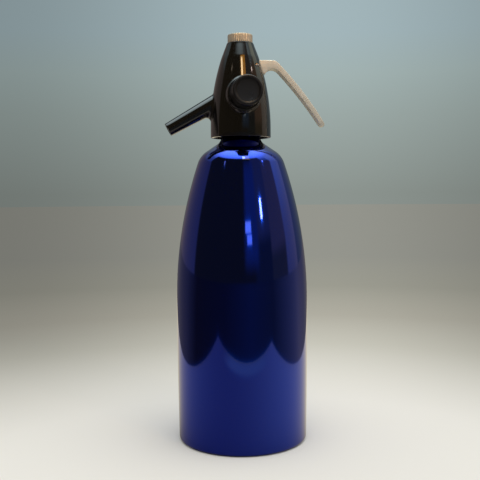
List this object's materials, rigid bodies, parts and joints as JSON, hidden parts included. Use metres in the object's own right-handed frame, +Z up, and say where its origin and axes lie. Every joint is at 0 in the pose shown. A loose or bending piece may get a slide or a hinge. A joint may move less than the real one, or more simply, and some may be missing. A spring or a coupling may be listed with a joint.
{
  "type": "soda siphon",
  "caption": "Soda siphon: a metal pressure bottle with a screw-on moulded head that has a spout, a press lever with a sprung valve, and a capped gas charging port.",
  "frame": {"origin": "centre of the bottle's base, on the table", "axes": "+Z up along the bottle's axis; -X along the spout; +X towards the lever; -Y along the charging port"},
  "size_m": [0.1243, 0.102, 0.3139],
  "materials": {
    "anodised_blue": "deep blue, polished and lacquered aluminium",
    "bare_aluminium": "turned aluminium",
    "clear_tube": "natural translucent plastic",
    "black_rubber": "smooth moulded rubber",
    "black_moulding": "polished black moulded thermoset",
    "valve_moulding": "natural glass-filled moulding",
    "turned_brass": "turned brass",
    "stainless": "turned stainless steel",
    "spring_steel": "drawn spring steel",
    "plated_cap": "nickel-plated brass with fine ribs",
    "satin_nickel": "satin nickel plate on a casting",
    "fibre": "vulcanised fibre",
    "sintered_bronze": "sintered bronze"
  },
  "bodies": {
    "bottle": {"bottle": "anodised_blue", "neck_ring": "bare_aluminium"},
    "measuring_tube": {"measuring_tube": "clear_tube"},
    "neck_washer": {"neck_washer": "black_rubber"},
    "head": {"head_casing": "black_moulding", "valve_body": "valve_moulding", "valve_seat": "turned_brass", "spindle_seal": "black_rubber", "gland_nut": "turned_brass", "return_spring": "spring_steel", "top_bush": "turned_brass", "top_cap": "plated_cap", "top_cap_washer": "fibre", "lever_pin": "stainless", "dip_tube": "clear_tube", "tube_seal": "black_rubber", "tube_nut": "turned_brass", "spout_liner": "clear_tube", "spout_seal": "black_rubber", "charge_nozzle": "turned_brass", "piercing_pin": "stainless", "bulb_gasket": "black_rubber", "gas_filter": "sintered_bronze", "check_valve": "black_rubber"},
    "lever": {"lever": "satin_nickel"},
    "valve": {"spindle": "stainless", "spindle_collar": "stainless", "valve_washer": "black_rubber"},
    "cap_liner": {"cap_liner": "black_rubber"},
    "charge_cap": {"charge_cap": "black_moulding"}
  },
  "joints": [
    {"name": "head_lift", "type": "slide", "parent": "bottle", "child": "measuring_tube", "axis": [0, 0, 1], "range_m": [0, 0.245]},
    {"name": "head_unscrew", "type": "slide", "parent": "measuring_tube", "child": "neck_washer", "axis": [0, 0, 1], "range_m": [0, 0.0108]},
    {"name": "head_turn", "type": "hinge", "parent": "neck_washer", "child": "head", "pos_m": [0, 0, 0.25105], "axis": [0, 0, 1], "range_deg": [0, 1512]},
    {"name": "lever_press", "type": "hinge", "parent": "head", "child": "lever", "pos_m": [0.0112, 0, 0.28935], "axis": [0, 1, 0], "range_deg": [0, 12], "stiffness_Nm_per_rad": 2, "springref_deg": -11.46},
    {"name": "valve_lift", "type": "slide", "parent": "head", "child": "valve", "axis": [0, 0, 1], "range_m": [0, 0.0025], "deforming": ["return_spring"]},
    {"name": "cap_unscrew", "type": "slide", "parent": "head", "child": "cap_liner", "axis": [0, -1, 0], "range_m": [0, 0.015]},
    {"name": "cap_turn", "type": "hinge", "parent": "cap_liner", "child": "charge_cap", "pos_m": [0, -0.035, 0.26605], "axis": [0, -1, 0], "range_deg": [0, 2720]}
  ],
  "couplings": [
    {"joint": "head_unscrew", "follows": "head_turn", "m_per_rad": 0.00039789},
    {"joint": "valve_lift", "follows": "lever_press", "m_per_rad": 0.0112},
    {"joint": "cap_turn", "follows": "cap_unscrew", "rad_per_m": 3141.6}
  ]
}
